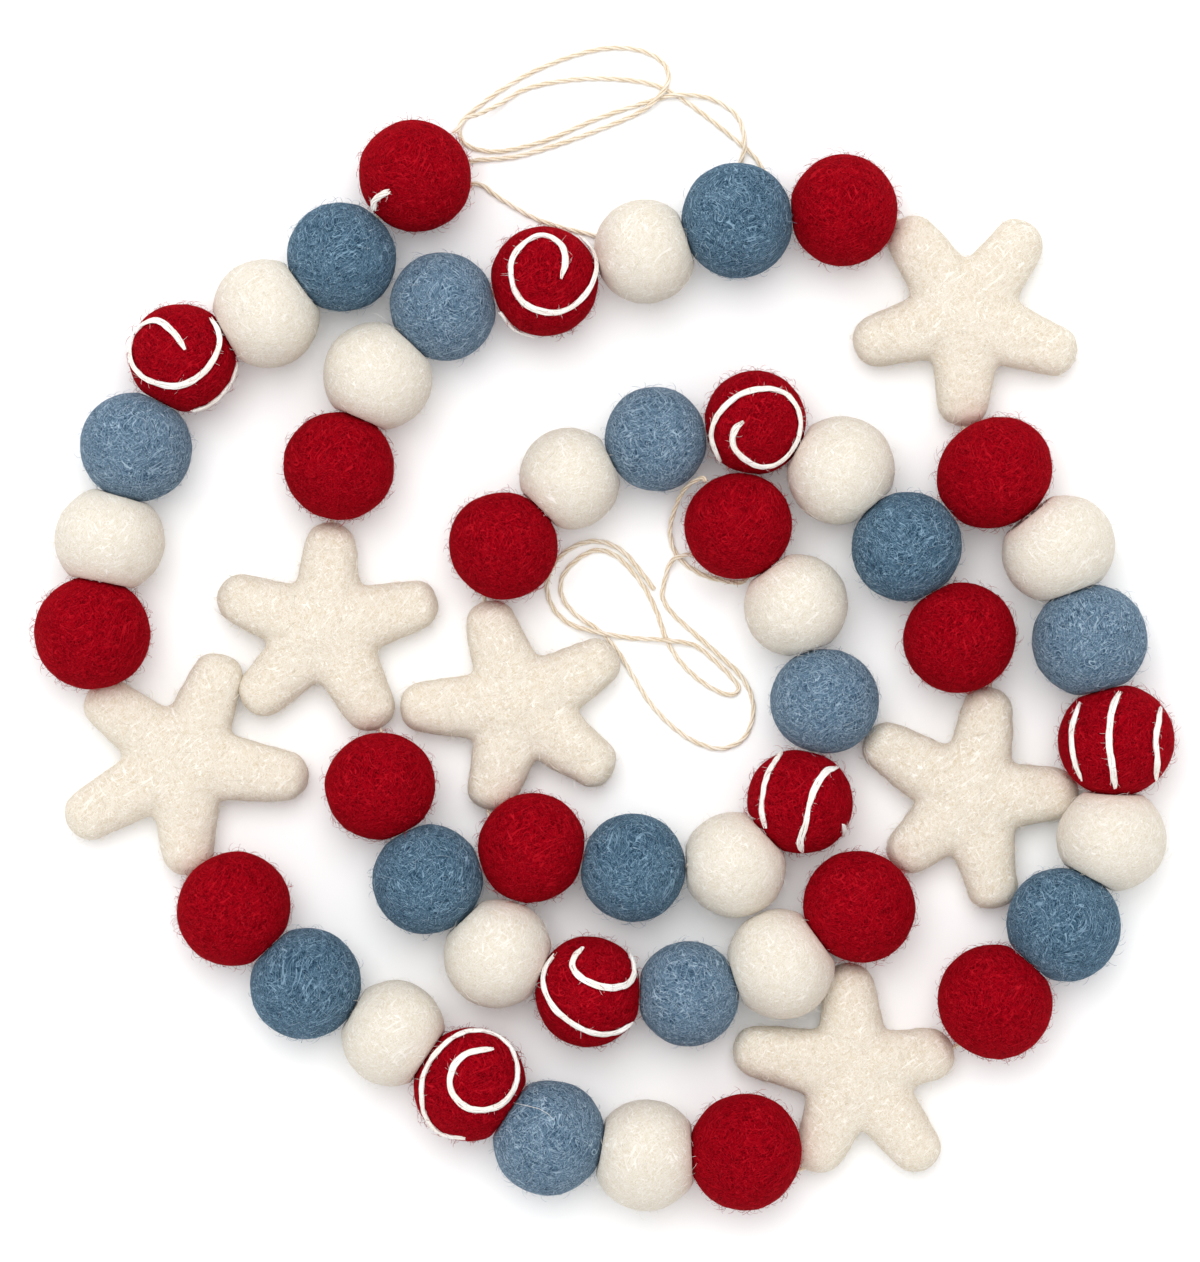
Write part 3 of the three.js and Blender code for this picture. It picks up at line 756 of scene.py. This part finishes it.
def hairs_on(mesh, count, lift, length, turn, thickness, rng):
    """Stations along each hair, which leaves the surface at a slope, arches over and curls sideways."""
    points, normals = surface_samples(mesh, count, rng)
    along = unit(np.cross(normals, rng.normal(size=(count, 3))))
    across = np.cross(normals, along)
    reach = length[0] + (length[1] - length[0]) * rng.random((count, 1))
    whole_turn = turn[0] + (turn[1] - turn[0]) * rng.random((count, 1))
    slope = whole_turn * (lift[0] + (lift[1] - lift[0]) * rng.random((count, 1)))
    ahead = along * np.cos(slope) + normals * np.sin(slope)
    down = along * np.sin(slope) - normals * np.cos(slope)
    bend = unit(down + across * rng.normal(size=(count, 1)) * HAIR_SIDEWAYS)
    stations = []
    for share in HAIR_STATIONS:
        angle = whole_turn * share
        stations.append(points + reach / whole_turn * (ahead * np.sin(angle) + bend * (1 - np.cos(angle))))
    stations[0] = points - normals * HAIR_ROOT_DEPTH
    widths = thickness[0] + (thickness[1] - thickness[0]) * rng.random((count, 1))
    return np.stack(stations, axis=1), widths


def hair_mesh(name, batches):
    stations = np.concatenate([batch[0] for batch in batches])
    widths = np.concatenate([batch[1] for batch in batches])
    ahead = unit(stations[:, -1] - stations[:, 0])
    side = unit(np.cross(ahead, [0.31, 0.77, 0.55]))
    other = np.cross(ahead, side)
    rings = []
    for station, share in enumerate(HAIR_TAPER):
        for corner in range(3):
            angle = corner * 2 * math.pi / 3
            offset = side * math.cos(angle) + other * math.sin(angle)
            rings.append(stations[:, station] + offset * widths * share / 2)
    rings.append(stations[:, -1])
    corners = np.stack(rings, axis=1)
    corners[:, :, 2] = np.maximum(corners[:, :, 2], 0.02)
    tip = 3 * len(HAIR_TAPER)
    pattern = [(0, 2, 1)]
    for low in range(0, tip - 3, 3):
        for corner in range(3):
            following = (corner + 1) % 3
            pattern.append((low + corner, low + following, low + 3 + following))
            pattern.append((low + corner, low + 3 + following, low + 3 + corner))
    pattern += [(tip - 3 + corner, tip - 3 + (corner + 1) % 3, tip) for corner in range(3)]
    faces = np.array(pattern)[None] + (np.arange(len(stations)) * (tip + 1))[:, None, None]
    mesh = bpy.data.meshes.new(name)
    mesh.from_pydata((corners.reshape(-1, 3) * MM).tolist(), [], faces.reshape(-1, 3).tolist())
    mesh.update()
    return mesh


# Twine and yarn

def smooth_route(points, spacing, floor):
    """Points evenly spaced along one smooth curve through the given ones, no lower than the floor."""
    given = [Vector(point) for point in points]
    given = [given[0] * 2 - given[1]] + given + [given[-1] * 2 - given[-2]]
    fine = []
    for p0, p1, p2, p3 in zip(given, given[1:], given[2:], given[3:]):
        d0, d1, d2 = (max((b - a).length, 1e-6) ** 0.5 for a, b in ((p0, p1), (p1, p2), (p2, p3)))
        out1 = ((p1 - p0) / d0 - (p2 - p0) / (d0 + d1) + (p2 - p1) / d1) * d1
        out2 = ((p2 - p1) / d1 - (p3 - p1) / (d1 + d2) + (p3 - p2) / d2) * d1
        for step in range(CURVE_STEPS):
            t = step / CURVE_STEPS
            fine.append(p1 * (2 * t ** 3 - 3 * t * t + 1) + out1 * (t ** 3 - 2 * t * t + t)
                        + p2 * (3 * t * t - 2 * t ** 3) + out2 * (t ** 3 - t * t))
    fine.append(given[-2])
    for point in fine:
        point.z = max(point.z, floor)
    lengths = [0.0]
    for a, b in zip(fine, fine[1:]):
        lengths.append(lengths[-1] + (b - a).length)
    count = max(int(lengths[-1] / spacing), 2)
    places = np.linspace(0, lengths[-1], count + 1)
    columns = [np.interp(places, lengths, [point[k] for point in fine]) for k in range(3)]
    return [Vector(row) for row in zip(*columns)], lengths[-1]


def frames_along(route):
    side = Vector((0, 0, 1)).cross(route[1] - route[0])
    if side.length < 1e-6:
        side = Vector((1, 0, 0))
    side.normalize()
    rows = []
    for index, point in enumerate(route):
        ahead = (route[min(index + 1, len(route) - 1)] - route[max(index - 1, 0)]).normalized()
        side = (side - ahead * side.dot(ahead)).normalized()
        rows.append((point, side, ahead.cross(side)))
    return rows


def twisted_mesh(name, routes, plies, ply_radius, off_centre, pitch, taper=0):
    """Plies wound round each route, as round tubes with closed ends."""
    line = bpy.data.curves.new(name, "CURVE")
    line.dimensions = "3D"
    line.bevel_depth = ply_radius * MM
    line.bevel_resolution = 1
    line.use_fill_caps = True
    for route in routes:
        rows = frames_along(route)
        step = (route[1] - route[0]).length
        for ply in range(plies):
            spline = line.splines.new("POLY")
            spline.points.add(len(rows) - 1)
            for index, (point, side, up) in enumerate(rows):
                angle = 2 * math.pi * (index * step / pitch + ply / plies)
                offset = side * math.cos(angle) + up * math.sin(angle)
                place = to_frame(point + offset * off_centre)
                spline.points[index].co = (*place, 1)
                ends = min(index, len(rows) - 1 - index)
                spline.points[index].radius = 0.45 + 0.55 * min(ends / taper, 1) if taper else 1.0
    shape = bpy.data.objects.new(name, line)
    bpy.context.scene.collection.objects.link(shape)
    mesh = finished(shape)
    add_ridges(mesh, routes, off_centre + ply_radius)
    return mesh


# How far each point stands out of the twist: 0 in the grooves between the plies, 1 on the ridges; the twine
# material paints shade into the grooves from it
def add_ridges(mesh, routes, outermost):
    middle = [point + FRAME_SHIFT for route in routes for point in route]
    tree = KDTree(len(middle))
    for index, point in enumerate(middle):
        tree.insert(point, index)
    tree.balance()
    away = np.array([tree.find(place)[2] for place in points_of(mesh)])
    groove = GROOVE_DEPTH_SHARE * outermost
    ridge = mesh.attributes.new("ridge", "FLOAT", "POINT")
    height = np.clip((away - groove) / (outermost - groove), 0, 1)
    ridge.data.foreach_set("value", height.astype(np.float32))


def felted_yarn_mesh(name, ball, routes, rng):
    """Loose strands of white wool pressed flat on a ball, side by side and wandering."""
    line = bpy.data.curves.new(name, "CURVE")
    line.dimensions = "3D"
    line.bevel_depth = YARN_STRAND_RADIUS * MM
    line.bevel_resolution = 0
    line.use_fill_caps = True
    for route in routes:
        spacing = (route[1] - route[0]).length
        for strand in range(YARN_STRANDS + YARN_CORES):
            core = strand >= YARN_STRANDS
            home = (strand - YARN_STRANDS) * 0.9 - 0.45 if core else (strand + 0.5) / YARN_STRANDS * 2 - 1
            phase, tempo = rng.random(2) * (6.28, 0.25) + (0.0, 0.35)
            first, last = rng.integers(0, 3, 2)
            kept = route[first:len(route) - last]
            spline = line.splines.new("POLY")
            spline.points.add(len(kept) - 1)
            for index, point in enumerate(kept):
                up = (point - ball.centre).normalized()
                ahead = kept[min(index + 1, len(kept) - 1)] - kept[max(index - 1, 0)]
                side = ahead.cross(up).normalized()
                swing = home if core else home + 0.35 * math.sin(phase + tempo * spacing * index)
                ends = min(index, len(kept) - 1 - index)
                across = max(min(swing, 1), -1) * (0.5 + 0.5 * min(ends / 3, 1))
                ripple = 0.1 * math.sin(2.3 * phase + 0.7 * index * spacing)
                rise = 0.0 if core else 0.32 * math.sqrt(1 - 0.85 * across * across) + ripple
                place = point + side * (across * YARN_HALF_WIDTH) + up * rise
                spline.points[index].co = (*to_frame(place), 1)
                uneven = 0.9 + 0.2 * math.sin(phase * 5 + index)
                spline.points[index].radius = (0.6 + 0.4 * min(ends / 4, 1)) * uneven
                if core:
                    spline.points[index].radius *= 1.7
    shape = bpy.data.objects.new(name, line)
    bpy.context.scene.collection.objects.link(shape)
    return finished(shape)


def tail(name, start, out, lead, rows, node):
    points = [start + out * 0.35, start + out * lead] + [Vector(row) for row in rows]
    route, length = smooth_route(points, TAIL_STEP, TWINE / 2)
    mesh = twisted_mesh(name, [route], TWINE_PLIES, TAIL_PLY_RADIUS, TAIL_PLY_OFFSET, TWINE_PITCH)
    piece = add_piece(name, mesh, TWINE_COTTON, [node])
    centreline = [tuple(to_frame(point)) for point in route]


def on_ball(ball, pixel, lift):
    """The place on a ball's upper side under a pixel of the frame."""
    px, py = pixel
    target = Vector(((px - PHOTO_CENTRE[0]) * PIXEL, (PHOTO_CENTRE[1] - py) * PIXEL, MIDDLE_HEIGHT))
    ray = (target - EYE).normalized()
    away = EYE - ball.centre
    reach = ball.radius + lift
    half = away.dot(ray)
    inside = half * half - away.dot(away) + reach * reach
    if inside <= 0:
        nearest = EYE - ray * half
        return ball.centre + (nearest - ball.centre).normalized() * reach
    return EYE + ray * (-half - math.sqrt(inside))


# Camera, light and floor

scene = bpy.context.scene
scene.view_settings.view_transform = "Standard"
scene.view_settings.look = "None"

camera = bpy.data.cameras.new("camera")
camera.sensor_fit = "VERTICAL"
camera.sensor_height = SENSOR_HEIGHT
camera.lens = camera.sensor_height * (EYE.z - MIDDLE_HEIGHT) / (FRAME_HEIGHT_PIXELS * PIXEL)
camera.clip_end = FARTHEST_SEEN
eye = bpy.data.objects.new("camera", camera)
eye.location = EYE * MM
scene.collection.objects.link(eye)
scene.camera = eye

world = bpy.data.worlds.new("soft_room")
world.use_nodes = True
world.node_tree.nodes["Background"].inputs["Color"].default_value = (1.0, 1.0, 1.0, 1.0)
world.node_tree.nodes["Background"].inputs["Strength"].default_value = ROOM_BRIGHTNESS
scene.world = world


def soft_light(name, location, size, power, target=(0, 0, 0)):
    lamp = bpy.data.lights.new(name, "AREA")
    lamp.shape = "DISK"
    lamp.size = size
    lamp.energy = power
    holder = bpy.data.objects.new(name, lamp)
    holder.location = location
    holder.rotation_euler = (Vector(target) - Vector(location)).to_track_quat("-Z", "Y").to_euler()
    scene.collection.objects.link(holder)


soft_light("key", KEY_PLACE, KEY_SIZE, KEY_POWER)

floor_shape = bmesh.new()
bmesh.ops.create_grid(floor_shape, x_segments=1, y_segments=1, size=FLOOR_HALF_SIZE)
floor_mesh = bpy.data.meshes.new("floor")
floor_shape.to_mesh(floor_mesh)
floor_shape.free()
floor_object = bpy.data.objects.new("floor", floor_mesh)
floor_object.location = (0, 0, -FLOOR_DROP)
scene.collection.objects.link(floor_object)
floor_material, _, floor_shader = new_material("white_paper")
floor_shader.inputs["Base Color"].default_value = (FLOOR_TONE, FLOOR_TONE, FLOOR_TONE, 1)
floor_shader.inputs["Emission Color"].default_value = (1.0, 1.0, 1.0, 1)
floor_shader.inputs["Emission Strength"].default_value = FLOOR_GLOW
floor_shader.inputs["Roughness"].default_value = 0.9
floor_mesh.materials.append(floor_material)

# The cords first, then the felt

tail("outer_tail_twine", FIRST_MOUTH, FIRST_OUT, OUTER_LEAD, OUTER_TAIL, "twine_tail_outer")
tail("inner_tail_twine", LAST_MOUTH, LAST_OUT, INNER_LEAD, INNER_TAIL, "twine_tail_inner")

threading = [FIRST_MOUTH]
for index, piece in enumerate(PIECES):
    if isinstance(piece, Star):
        threading += [piece.cap(piece.enters), piece.centre, piece.cap(piece.leaves)]
    threading.append(LINKS[index + 1])
strand_route, _ = smooth_route(threading, THREADED_STEP, TWINE / 2)
strand = twisted_mesh("threaded_twine", [strand_route], TWINE_PLIES, THREADED_PLY_RADIUS,
                      THREADED_PLY_OFFSET, TWINE_PITCH)
add_piece("threaded_twine", strand, TWINE_COTTON, ["twine_strand"])

rng = np.random.default_rng(HAIR_SEED)
hair_batches = {slot: [] for slot in (*FELT_COLOURS, "red_felt_swirled")}
for index, piece in enumerate(PIECES):
    seed = LUMP_SEED_STEP * index + LUMP_SEED_START
    if isinstance(piece, Star):
        slot = FELT_SLOTS["star"]
        mesh = star_mesh(piece, seed)
    else:
        slot = FELT_SLOTS[piece.colour]
        run = LINKS[index + 1] - LINKS[index]
        mesh = ball_mesh(piece, math.atan2(run.y, run.x), seed)
    if slot in PALE_WOOLS:
        add_painted_red_bounce(mesh)
    add_piece(piece.name + "_felted", mesh, FELTS[slot], [piece.name])
    lying, standing = LOOSE_HAIRS[slot]
    batch = hair_batches[slot + "_swirled" if "swirl" in piece.name else slot]
    batch.append(hairs_on(mesh, lying, *LYING_HAIRS, rng))
    batch.append(hairs_on(mesh, standing, *STANDING_HAIRS, rng))
for kind, batches in hair_batches.items():
    slot = kind.removesuffix("_swirled")
    add_piece(kind + "_loose_wool", hair_mesh(kind + "_loose_wool", batches), LOOSE_FIBRES[slot])

yarn_batches = []
for turn, strokes in SWIRLS.items():
    ball = BALLS[(turn - 1) * len(RUN_COLOURS) + RUN_COLOURS.index("swirl_red")]
    routes = []
    for stroke in strokes:
        places = [on_ball(ball, pixel, YARN_LIFT) for pixel in stroke]
        route, _ = smooth_route(places, YARN_STEP, 0.0)
        routes.append(route)
    name = ball.name + "_yarn_swirl"
    mesh = felted_yarn_mesh(name, ball, routes, rng)
    add_piece(name, mesh, WHITE_YARN)
    yarn_batches.append(hairs_on(mesh, SWIRL_HAIR_COUNT, *YARN_HAIRS, rng))

stray_ball = BALLS[STRAY_HAIR_BALL]
stray = [on_ball(stray_ball, pixel, STRAY_HAIR_LIFT) + FRAME_SHIFT for pixel in STRAY_HAIR]
yarn_batches.append((np.array([stray]), np.array([[STRAY_HAIR_WIDTH]])))

first_ball = BALLS[0]
rise = first_ball.radius + YARN_END_RISE
yarn_places = []
for x, y in YARN_END:
    yarn_places.append(first_ball.centre + Vector((x, y, math.sqrt(rise * rise - x * x - y * y))))
yarn_route, _ = smooth_route(yarn_places, YARN_END_STEP, 0.0)
yarn_mesh = twisted_mesh("first_ball_yarn_end", [yarn_route], plies=5, ply_radius=0.27, off_centre=0.46,
                         pitch=14.0, taper=3)
add_piece("first_ball_yarn_end", yarn_mesh, WHITE_YARN, ["yarn_end"])
yarn_batches.append(hairs_on(yarn_mesh, YARN_END_HAIR_COUNT, *YARN_HAIRS, rng))
loose_yarn = hair_mesh("white_yarn_loose_wool", yarn_batches)
add_piece("white_yarn_loose_wool", loose_yarn, WHITE_YARN)

bpy.context.view_layer.update()
